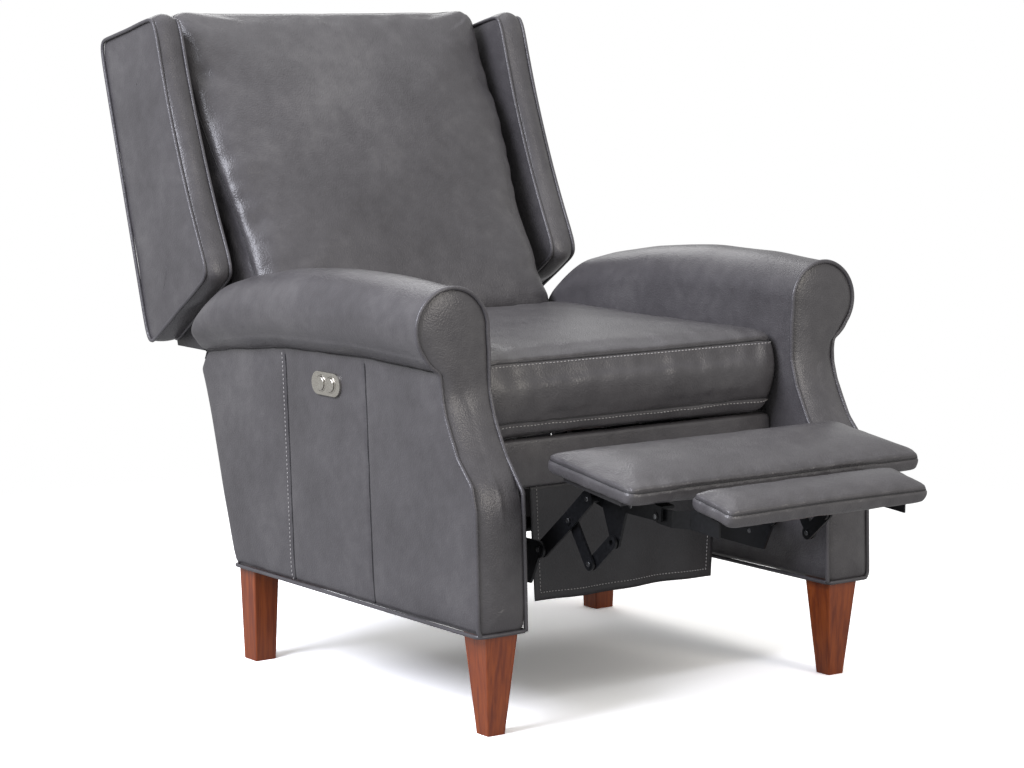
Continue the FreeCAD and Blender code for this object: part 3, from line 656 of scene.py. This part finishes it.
armSettings = {
    "innerX": 288.3, "outerX": 371.5, "bottomZ": 151, "rollCentre": (352.3, 581.5), "rollRadius": 62.0,
    "rollStart": 187, "rollStep": 9.6, "rollSteps": 25,
    "neckX": 376.5, "neckZ": 517, "capBulge": 8.0, "panelBulge": 3.0, "weltRadius": 3.3,
    "front": [(150, -7), (250, -4), (350, 0), (364, 8), (377, 21), (392, 36), (406, 48), (435, 62), (463, 77),
              (490, 83), (660, 84)],
    "back": [(148, 664), (478, 770), (500, 761), (519, 748), (560, 733), (600, 712), (644, 675)],
    "archTop": [(84, 640), (212, 648), (345, 649), (485, 638), (603, 619), (670, 603), (740, 566), (790, 540)],
    "seamTop": [(115, 1), (284, 4), (505, -3), (660, -20), (778, -38)],
    "plainSeam": (287, 524), "stitchedSeam": (508, 516), "seamSlope": 0.065,
    "seamCarve": (2.2, 6), "neckCarve": (2.5, 9), "neckPucker": (2.5, 30, 60), "neckIn": 2.5, "seamX": 372,
    "threadBehind": 6, "hemRadius": 3.1, "hemOut": 1.0, "weltAhead": 2.0,
    "rumple": 1.1, "rumpleSize": 130,
    # rings of the front and back ends, each (share drawn in, share of the bulge)
    "frontEnd": [(0.93, 1.0), (0.7, 0.97), (0.45, 0.85), (0.25, 0.62), (0.12, 0.38), (0.05, 0.16),
                 (0.015, 0.0)],
    "backEnd": [(0.02, 0.2), (0.08, 0.45), (0.2, 0.75), (0.4, 0.92), (0.65, 1.0), (0.9, 1.0)],
    "frontDepth": 4, "frontBulgeShare": 0.6, "backDepth": 6,
    # rings between the ends: shares of the way from line to line, and offsets round each seam
    "toPlain": (0.08, 0.18, 0.3, 0.44, 0.58, 0.72, 0.85), "toStitched": (0.16, 0.3, 0.45, 0.6, 0.75, 0.86),
    "toBack": (0.14, 0.28, 0.42, 0.56, 0.7, 0.82, 0.92, 0.965), "roundSeam": (-14, -7, -3.5, 0, 3.5, 7, 14),
    "startMm": 9, "startFirst": 5,
    # heights in mm over which the roll and the middle line take over, each (from, run)
    "rollOver": (519, 125), "archMiddle": 644, "seamOver": (430, 80), "spineTurn": (470, 80),
    "spineRise": (500, 60), "spineX": (330, 352.3), "spineZ": (190, 478, 581.5),
    "puffX": 360, "puffZ": 505, "puffLow": 150, "puffRun": 30, "puffPower": 0.6,
}


def armOutline(s):
    # front view, from the inner bottom corner up round the roll and down the outer panel
    cx, cz = s["rollCentre"]
    radius = s["rollRadius"]
    line = [(s["innerX"], z) for z in (s["bottomZ"], 200, 250, 300, 350, 400, 450, 490, 520, 545)]
    for step in range(s["rollSteps"]):
        angle = math.radians(s["rollStart"] - step * s["rollStep"])
        line.append((cx + radius * math.cos(angle), cz + radius * math.sin(angle)))
    line += [(398, 537), (387, 526), (s["neckX"] + 2, 520), (s["neckX"] - 2.5, s["neckZ"]), (373.5, 512),
             (s["outerX"] + 0.6, 500)]
    line += [(s["outerX"], z) for z in (480, 455, 430, 400, 365, 330, 295, 260, 225, 190, s["bottomZ"] + 6)]
    line += [(s["outerX"] - 6, s["bottomZ"]), (350, s["bottomZ"]), (330, s["bottomZ"]), (308, s["bottomZ"])]
    return line


def over(value, span):
    # how far value has come along a span of (from, run), eased at both ends
    return smooth((value - span[0]) / span[1])


def armSpine(s, z):
    # the middle line that the end panels draw in towards
    low, neck, middle = s["spineZ"]
    spineX = lerp(*s["spineX"], over(z, s["spineTurn"]))
    if z < s["spineRise"][0]:
        return spineX, max(low, min(z, neck))
    return spineX, lerp(neck, middle, over(z, s["spineRise"]))


flatSettings = {"marginMm": 24, "rimMm": 3, "depthMm": 20, "gapMm": 0.2, "easeMm": 5}


def flattenUnder(piece, node):
    # draws the leather flat behind a plate that is screwed to the left panel
    s = flatSettings
    low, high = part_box(node)
    for vertex in piece.data.vertices:
        x, y, z = vertex.co
        away = max(low[1] - y, y - high[1], low[2] - z, z - high[2]) * 1000 - s["rimMm"]
        if x < high[0] + s["depthMm"] / 1000 and away < s["marginMm"]:
            drop = s["gapMm"] - s["easeMm"] * smooth(away / s["marginMm"])
            vertex.co.x = max(x, high[0] + drop / 1000)


def makeArm(side, name):
    s = armSettings
    outline = armOutline(s)
    plainY, plainZ = s["plainSeam"]
    stitchY, stitchZ = s["stitchedSeam"]
    slope = s["seamSlope"]

    def station(z, key):
        ends = {"front": table(z, s["front"]), "back": table(z, s["back"]),
                "plain": plainY - (plainZ - z) * slope, "stitched": stitchY - (stitchZ - z) * slope}
        first, second, share, offset = key
        return lerp(ends[first], ends[second], share) + offset

    keys = [("front", "plain", 0, s["startFirst"]), ("front", "plain", 0, s["startMm"])]
    keys += [("front", "plain", share, s["startMm"] * (1 - share)) for share in s["toPlain"]]
    keys += [("plain", "plain", 0, offset) for offset in s["roundSeam"]]
    keys += [("plain", "stitched", share, 0) for share in s["toStitched"]]
    keys += [("stitched", "stitched", 0, offset) for offset in s["roundSeam"]]
    keys += [("stitched", "back", share, 0) for share in s["toBack"]]

    def onArm(x, z, y, inset=0.0):
        spineX, spineZ = armSpine(s, z)
        roll = over(z, s["rollOver"])
        rise = (table(y, s["archTop"]) - s["archMiddle"]) * roll
        rise += table(y, s["seamTop"]) * (1 - roll) * over(z, s["seamOver"])
        return place(side * lerp(x, spineX, inset), y, lerp(z, spineZ, inset) + rise)

    rings = []
    for inset, out in s["frontEnd"]:
        ahead = (1 - out) * s["frontDepth"] - out * s["capBulge"] * s["frontBulgeShare"]
        rings.append([onArm(x, z, table(z, s["front"]) + ahead, inset) for x, z in outline])
    for key in keys:
        ring = []
        for x, z in outline:
            y = station(z, key)
            puff = 0.0
            if x > s["puffX"] and z < s["puffZ"]:
                stops = [station(z, (end, end, 0, 0)) for end in ("front", "plain", "stitched", "back")]
                for low, high in zip(stops, stops[1:]):
                    if low <= y <= high:
                        puff = s["panelBulge"] * math.sin(math.pi * (y - low) / (high - low)) ** s["puffPower"]
                puff *= smooth((s["puffZ"] - z) / s["puffRun"]) * smooth((z - s["puffLow"]) / s["puffRun"])
            ring.append(onArm(x + puff, z, y))
        rings.append(ring)
    for inset, out in s["backEnd"]:
        rings.append([onArm(x, z, table(z, s["back"]) - (1 - out) * s["backDepth"], inset) for x, z in outline])
    arm = finishPiece(skin(rings, (0, 1, 0)), name + "Cover", "base", greyLeather, 1)
    settle(arm)
    rumple(arm, s["rumple"], s["rumpleSize"], 5 + side)
    if side < 0:
        flattenUnder(arm, "switch_plate")
    plain = [onArm(s["seamX"], z, station(z, ("plain", "plain", 0, 0))) for z in range(156, 516, 8)]
    stitched = [onArm(s["seamX"], z, station(z, ("stitched", "stitched", 0, 0))) for z in range(156, 512, 8)]
    neck = [onArm(s["neckX"] - s["neckIn"], s["neckZ"], y) for y in range(92, 765, 10)]
    pucker(arm, neck, *s["neckPucker"], 6 + side)
    carve(arm, plain, *s["seamCarve"])
    carve(arm, stitched, *s["seamCarve"])
    carve(arm, neck, *s["neckCarve"])
    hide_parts(armNodes[side])
    # the dark cords along the seams are painted shade
    for label, line in (("Plain", plain), ("Stitched", stitched), ("Neck", neck)):
        seamShadeCord(name + label + "Seam", line, arm, "base")
    beside = [point + Vector((0, s["threadBehind"] / 1000, 0)) for point in stitched]
    stitches(name + "PanelStitches", beside, arm, "base")
    edge = [onArm(x, z, table(z, s["front"]) + s["weltAhead"]) for x, z in outline]
    welt(name + "FrontWelt", edge[:-3], s["weltRadius"], "base")
    hemX, hemZ = s["outerX"] + s["hemOut"], s["bottomZ"] + s["hemOut"]
    hem = [onArm(x, hemZ, -7) for x in range(292, 372, 8)]
    hem += [onArm(hemX, hemZ, y) for y in range(-2, 662, 12)]
    hem += [onArm(x, hemZ, 664) for x in range(366, 289, -8)]
    hem += [onArm(s["innerX"] + s["hemOut"], hemZ, y) for y in range(652, 0, -12)]
    welt(name + "HemWelt", hem, s["hemRadius"], "base", True)


armNodes = {-1: "arm_left", 1: "arm_right"}
for side, name in ((-1, "armLeft"), (1, "armRight")):
    makeArm(side, name)
print("arms done")

wingSettings = {
    "corners": [(906, 1012), (1087, 972), (936, 476), (744, 609)], "hollow": 14, "hollowRun": 3,
    "pointsPerRun": 26, "softenings": 3, "lean": 0.347, "spineShare": 0.55, "aheadRun": 60,
    "innerX": 321.5, "outerX": 369.5, "innerFace": 2, "outerFace": 3, "bandIn": 1, "bandPower": 0.8,
    "faceBulge": 4.0, "bandBulge": 3.0, "frontBulge": 12.0,
    "rumple": 1.2, "rumpleSize": 120, "weltRadius": 3.1, "weltIn": 0.5, "weltOut": 0.15,
    # rings of a face, each (share drawn in, share of the bulge), then rings across the band
    "face": [(0.94, 1.0), (0.7, 0.95), (0.48, 0.82), (0.3, 0.62), (0.16, 0.4), (0.07, 0.2), (0.025, 0.05)],
    "band": (0.04, 0.12, 0.28, 0.5, 0.72, 0.88, 0.96),
}


def wingOutline(s):
    # side view, from the top front corner back, down, forward and up the hollow front edge
    corners = [Vector((*corner, 0)) for corner in s["corners"]]
    line = []
    for index, start in enumerate(corners):
        run = corners[(index + 1) % len(corners)] - start
        for step in range(s["pointsPerRun"]):
            share = (step + 0.5) / s["pointsPerRun"]
            point = start + run * share
            if index == s["hollowRun"]:
                point += Vector((run.y, -run.x, 0)).normalized() * s["hollow"] * math.sin(math.pi * share)
            line.append(point)
    # the corners are softened by easing each point towards its neighbours
    for _ in range(s["softenings"]):
        line = [(line[i - 1] + line[i] * 2 + line[(i + 1) % len(line)]) / 4 for i in range(len(line))]
    return [(point.x, point.y) for point in line]


def makeWing(side, name, node):
    s = wingSettings
    outline = wingOutline(s)
    middleY = sum(y for y, z in outline) / len(outline)
    middleZ = sum(z for y, z in outline) / len(outline)

    def onWing(y, z, x, inset, out=0.0):
        # out swells the band away from the middle, inset draws a face's ring in towards it
        reach = math.hypot(y - middleY, z - middleZ)
        ahead = smooth((middleY + (z - middleZ) * s["lean"] - y) / s["aheadRun"])
        scale = 1 + out * lerp(s["bandBulge"], s["frontBulge"], ahead) / reach
        spineY = middleY + (z - middleZ) * s["lean"] * s["spineShare"]
        spineZ = middleZ + (z - middleZ) * s["spineShare"]
        return place(side * x, lerp(middleY + (y - middleY) * scale, spineY, inset),
                     lerp(middleZ + (z - middleZ) * scale, spineZ, inset))

    rings = []
    for inset, rise in s["face"]:
        rings.append([onWing(y, z, s["innerX"] + s["innerFace"] - s["faceBulge"] * rise, inset)
                      for y, z in outline])
    for share in s["band"]:
        x = lerp(s["innerX"] + s["bandIn"], s["outerX"] - s["bandIn"], share)
        out = math.sin(math.pi * share) ** s["bandPower"]
        rings.append([onWing(y, z, x, 0.0, out) for y, z in outline])
    for inset, rise in reversed(s["face"]):
        rings.append([onWing(y, z, s["outerX"] - s["outerFace"] + s["faceBulge"] * rise, inset)
                      for y, z in outline])
    wing = finishPiece(skin(rings, (1, 0, 0)), name + "Cover", "back", greyLeather, 1)
    settle(wing)
    rumple(wing, s["rumple"], s["rumpleSize"], 9 + side)
    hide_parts(node)
    for label, x in (("Inner", s["innerX"] + s["weltIn"]), ("Outer", s["outerX"] - s["weltIn"])):
        edge = [onWing(y, z, x, 0.0, s["weltOut"]) for y, z in outline]
        welt(name + label + "Welt", edge, s["weltRadius"], "back", True)


for side, name, node in ((-1, "wingLeft", "wing_left"), (1, "wingRight", "wing_right")):
    makeWing(side, name, node)
print("wings done")

panelSettings = {
    "backPanelCover": {
        "halfWidth": 317, "thickness": 12, "crown": 5, "corner": 6, "draw": 0, "edge": 4, "sideBulge": 0.5,
        "rumple": 1.0, "rumpleSize": 150, "fill": 0.9, "foot": (935.5, 476), "top": (1085, 967),
    },
    "rearPanelCover": {
        "halfWidth": 286, "thickness": 12, "crown": 4, "corner": 5, "draw": 0, "edge": 4, "sideBulge": 0.5,
        "rumple": 0.8, "rumpleSize": 140, "fill": 0.9, "foot": (662.5, 153), "top": (746.5, 395),
    },
    "seams": {"share": 0.36, "inset": 10, "steps": 40, "depth": 1.8, "reach": 5, "threadBeside": 6,
              "weltIn": 1, "weltRadius": 2.6},
}


def makePanel(name, body, node, seed):
    s, lines = panelSettings[name], panelSettings["seams"]
    footY, footZ = s["foot"]
    topY, topZ = s["top"]
    s["length"] = math.hypot(topY - footY, topZ - footZ)
    upY, upZ = (topY - footY) / s["length"], (topZ - footZ) / s["length"]

    def onPanel(x, u, t):
        out = t - s["thickness"]
        return place(x, footY + u * upY + out * upZ, footZ + u * upZ - out * upY)

    panel = makePad(name, s, onPanel, body, [node], seed)
    seamLength, seamOut = s["length"] - 2 * lines["inset"], s["thickness"] + s["crown"]
    for side, label in ((-1, "Left"), (1, "Right")):
        seam = [onPanel(side * s["halfWidth"] * lines["share"],
                        lines["inset"] + step * seamLength / lines["steps"], seamOut)
                for step in range(lines["steps"] + 1)]
        carve(panel, seam, lines["depth"], lines["reach"])
        seamShadeCord(name + "SeamShadeLine" + label, seam, panel, body)
        beside = [point + Vector((side * lines["threadBeside"] / 1000, 0, 0)) for point in seam]
        stitches(name + "Stitches" + label, beside, panel, body)
    edge = padEdge(s, onPanel, lines["weltIn"], s["thickness"] - lines["weltIn"])
    welt(name + "Welt", edge, lines["weltRadius"], body, True)


makePanel("backPanelCover", "back", "back_panel", 11)
makePanel("rearPanelCover", "base", "rear_panel", 12)
print("back panels done")

railSettings = {
    "halfWidth": 286.5, "length": 72, "thickness": 20, "crown": 2, "corner": 5, "draw": 0, "edge": 5,
    "sideBulge": 0.5, "rumple": 0.5, "rumpleSize": 70, "fill": 0.9, "lowZ": 330, "backY": 149.5,
}


def railPlace(x, u, t):
    return place(x, railSettings["backY"] - t, railSettings["lowZ"] + u)


makePad("frontRailCover", railSettings, railPlace, "base", ["front_rail"], 13)

flapSettings = {
    "topHalfWidth": 180, "lowHalfWidth": 171, "topZ": 330, "lowZ": 156, "y": 134, "ripple": 2.2, "waves": 3.4,
    "thickness": 1.6, "stitchInset": 12, "threadAhead": 2, "cells": (60, 30),
    "thread": {"pitch": 5.6, "length": 3.9, "thread": 1.3}, "ripplePower": 1.4,
    "hemWave": (1.2, 4), "smallWave": (0.4, 7.1, 1.3), "waveStart": 0.6,
}


def flapPoint(share, drop):
    # share runs across from -1 to 1, drop runs down from 0 to 1
    s = flapSettings
    half = lerp(s["topHalfWidth"], s["lowHalfWidth"], drop)
    small, pace, start = s["smallWave"]
    wave = math.sin(share * s["waves"] * math.pi + s["waveStart"]) + small * math.sin(share * pace + start)
    rise, hemPace = s["hemWave"]
    return place(share * half, s["y"] - s["ripple"] * wave * drop ** s["ripplePower"],
                 lerp(s["topZ"], s["lowZ"], drop) + rise * math.sin(share * hemPace) * drop)


def makeFlap():
    s = flapSettings
    bm = bmesh.new()
    bmesh.ops.create_grid(bm, x_segments=s["cells"][0], y_segments=s["cells"][1], size=1)
    for vertex in bm.verts:
        vertex.co = flapPoint(vertex.co.x, (1 - vertex.co.y) / 2)
    # the flap takes the darker leather copy, painted shade under the seat
    flap = finishPiece(bm, "frontFlapSheet", "base", shadeLeather)
    solid = flap.modifiers.new("Thickness", "SOLIDIFY")
    solid.thickness = s["thickness"] / 1000
    solid.offset = 0
    settle(flap)
    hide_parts("front_flap")
    inset = s["stitchInset"]
    sideShare = 1 - inset / s["topHalfWidth"]
    hemDrop = 1 - inset / (s["topZ"] - s["lowZ"])
    line = [flapPoint(-sideShare, hemDrop * step / 20) for step in range(21)]
    line += [flapPoint(lerp(-sideShare, sideShare, step / 40), hemDrop) for step in range(1, 41)]
    line += [flapPoint(sideShare, hemDrop * (1 - step / 20)) for step in range(1, 21)]
    line = [point - Vector((0, s["threadAhead"] / 1000, 0)) for point in line]
    hem = stitches("frontFlapStitches", line, flap, "base", own=s["thread"])


makeFlap()
print("front rail and flap done")

rivetSettings = {"radius": 3.8, "height": 0.5, "standOff": 0.03}


def faceOf(node, y, z, outward):
    # where a line along X first meets a node, coming from its outward side
    tree = surfaceOf(frame["nodes"][node], frame["nodes"][node].matrix_world)
    spot = place(0, y, z)
    spot.x = outward
    return tree.ray_cast(spot, Vector((-outward, 0, 0)))[0]


def dome(bm, centre, radius, height, outward):
    # a low dome: a half sphere flattened along X, with its rim on the bar
    turn = Matrix.Rotation(math.radians(90 * outward), 4, "Y")
    size = Matrix.Diagonal((radius / 1000, radius / 1000, height / 1000, 1))
    made = bmesh.ops.create_uvsphere(bm, u_segments=20, v_segments=10, radius=1,
                                     matrix=Matrix.Translation(centre) @ turn @ size)
    middle = [v for v in made["verts"] if (v.co.x - centre.x) * outward < -1e-6]
    bmesh.ops.delete(bm, geom=middle, context="VERTS")
    rim = [edge for edge in bm.edges if edge.is_boundary]
    bmesh.ops.holes_fill(bm, edges=rim, sides=0)


# each body's bars with the (y, z) of their rivets; a line that meets no surface leaves no head
rivetPlaces = {
    "main_links": ("main_link", [(50, 254), (-12, 305), (-55, 342)]),
    "braces": ("brace_link", [(-12, 305), (-52, 247)]),
    "guides": ("guide_link", [(-52, 247), (-95, 284)]),
    "footrest": ("pad_bracket", [(-55, 342), (-90, 345), (-130, 341), (-186, 334)]),
    "extension": ("extension_arm", [(-186, 334)]),
    "base": ("side_plate", [(104, 225), (104, 255), (104, 285), (112, 340)]),
}
for body, (node, spots) in rivetPlaces.items():
    bm = bmesh.new()
    for y, z in spots:
        for sideName in ("_left", "_right"):
            for outward in (-1, 1):
                centre = faceOf(node + sideName, y, z, outward)
                if centre:
                    centre.x += outward * rivetSettings["standOff"] / 1000
                    dome(bm, centre, rivetSettings["radius"], rivetSettings["height"], outward)
    if bm.verts:
        finishPiece(bm, body.replace("_l", "L") + "RivetHeads", body, brightRivet)

switchSettings = {"y": 384, "z": 472, "spacing": 27, "rimRadius": 12.6, "rimMm": 1.5, "aheadMm": 0.3}
s = switchSettings
bm = bmesh.new()
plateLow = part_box("switch_plate")[0]
for way in (-1, 1):
    centre = place(0, s["y"] + way * s["spacing"] / 2, s["z"])
    centre.x = plateLow[0] - s["aheadMm"] / 1000
    top = Matrix.Translation(centre + Vector((0, 0, s["rimRadius"] / 1000)))
    turn = Matrix.Rotation(math.pi / 2, 4, "Y") @ Matrix.Rotation(math.pi / 2, 4, "X")
    start = bmesh.ops.create_circle(bm, segments=10, radius=s["rimMm"] / 2000, matrix=top @ turn)
    ring = list({edge for vertex in start["verts"] for edge in vertex.link_edges})
    bmesh.ops.spin(bm, geom=start["verts"] + ring, cent=centre, axis=(1, 0, 0), angle=math.tau, steps=36,
                   use_merge=True)
finishPiece(bm, "switchButtonRims", "base", satinNickel)
print("rivets and switch done")

floorMaterial = bpy.data.materials.new("whiteStudioFloor")
floorMaterial.use_nodes = True
tree = floorMaterial.node_tree
tree.nodes.clear()
rays = addNode(tree, "ShaderNodeLightPath")
seen = addNode(tree, "ShaderNodeMix", {"data_type": "RGBA", 6: hexColor("#a8a8a8"), 7: (1.75, 1.75, 1.75, 1)},
               {0: rays.outputs["Is Camera Ray"]})
diffuse = addNode(tree, "ShaderNodeBsdfDiffuse", None, {"Color": seen.outputs[2]})
floorPlace = addNode(tree, "ShaderNodeTexCoord").outputs["Object"]
distance = addNode(tree, "ShaderNodeVectorMath", {"operation": "LENGTH"}, {0: floorPlace})
fade = addNode(tree, "ShaderNodeMapRange", {"From Min": 0.75, "From Max": 1.9},
               {"Value": distance.outputs["Value"]})
clear = addNode(tree, "ShaderNodeBsdfTransparent")
joined = addNode(tree, "ShaderNodeMixShader", None,
                 {0: fade.outputs["Result"], 1: diffuse.outputs[0], 2: clear.outputs[0]})
addNode(tree, "ShaderNodeOutputMaterial", None, {"Surface": joined.outputs[0]})
bm = bmesh.new()
bmesh.ops.create_grid(bm, x_segments=1, y_segments=1, size=2.4)
floorMesh = bpy.data.meshes.new("studioFloor")
bm.to_mesh(floorMesh)
bm.free()
floorMesh.materials.append(floorMaterial)
studioFloor = bpy.data.objects.new("studioFloor", floorMesh)
bpy.context.collection.objects.link(studioFloor)

world = bpy.data.worlds.new("whiteStudio")
bpy.context.scene.world = world
world.use_nodes = True
tree = world.node_tree
tree.nodes.clear()
rays = addNode(tree, "ShaderNodeLightPath")
glossy = addNode(tree, "ShaderNodeMath", {"operation": "MULTIPLY", 1: 0.55},
                 {0: rays.outputs["Is Glossy Ray"]})
direct = addNode(tree, "ShaderNodeMath", {"operation": "MAXIMUM"},
                 {0: rays.outputs["Is Camera Ray"], 1: glossy.outputs[0]})
strength = addNode(tree, "ShaderNodeMath", {"operation": "MAXIMUM", 1: 0.6}, {0: direct.outputs[0]})
shade = addNode(tree, "ShaderNodeBackground", {"Color": (1, 1, 1, 1)}, {"Strength": strength.outputs[0]})
addNode(tree, "ShaderNodeOutputWorld", None, {"Surface": shade.outputs[0]})

lightSettings = {
    "side": {"at": (-2.8, -0.3, 2.5), "size": (1.7, 1.8), "watts": 150, "tint": "#f1f3ff"},
    "over": {"at": (0.3, 0.1, 3.0), "size": (2.4, 2.2), "watts": 16, "tint": "#ffffff"},
    "front": {"at": (0.7, -3.3, 1.8), "size": (0.9, 1.8), "watts": 32, "tint": "#fff8ee"},
    "rear": {"at": (0.9, 2.6, 2.2), "size": (1.8, 1.2), "watts": 16, "tint": "#ffffff"},
}
aim = Vector((0, 0, 0.5))
for name, s in lightSettings.items():
    lamp = bpy.data.lights.new(name + "Softbox", "AREA")
    lamp.shape = "RECTANGLE"
    lamp.size, lamp.size_y = s["size"]
    lamp.energy = s["watts"]
    lamp.color = hexColor(s["tint"])[:3]
    holder = bpy.data.objects.new(name + "Softbox", lamp)
    bpy.context.collection.objects.link(holder)
    spot = Vector(s["at"])
    holder.matrix_world = Matrix.Translation(spot) @ (aim - spot).to_track_quat("-Z", "Y").to_matrix().to_4x4()

cameraSettings = {
    "at": (-2.733, -3.7095911, 1.057), "azimuth": -36.04, "elevation": 7.59,
    "focalPx": 2951, "widthPx": 1024, "sensorMm": 36,
}
s = cameraSettings
azimuth, elevation = math.radians(s["azimuth"]), math.radians(s["elevation"])
level = Vector((math.sin(azimuth), -math.cos(azimuth), 0))
backward = level * math.cos(elevation) + Vector((0, 0, math.sin(elevation)))
lens = bpy.data.cameras.new("photoCamera")
lens.sensor_width = s["sensorMm"]
lens.lens = s["focalPx"] * s["sensorMm"] / s["widthPx"]
camera = bpy.data.objects.new("photoCamera", lens)
bpy.context.collection.objects.link(camera)
turn = (-backward).to_track_quat("-Z", "Y").to_matrix().to_4x4()
camera.matrix_world = Matrix.Translation(s["at"]) @ turn
bpy.context.scene.camera = camera
bpy.context.scene.view_settings.view_transform = "Standard"
print("floor, lights and camera set")
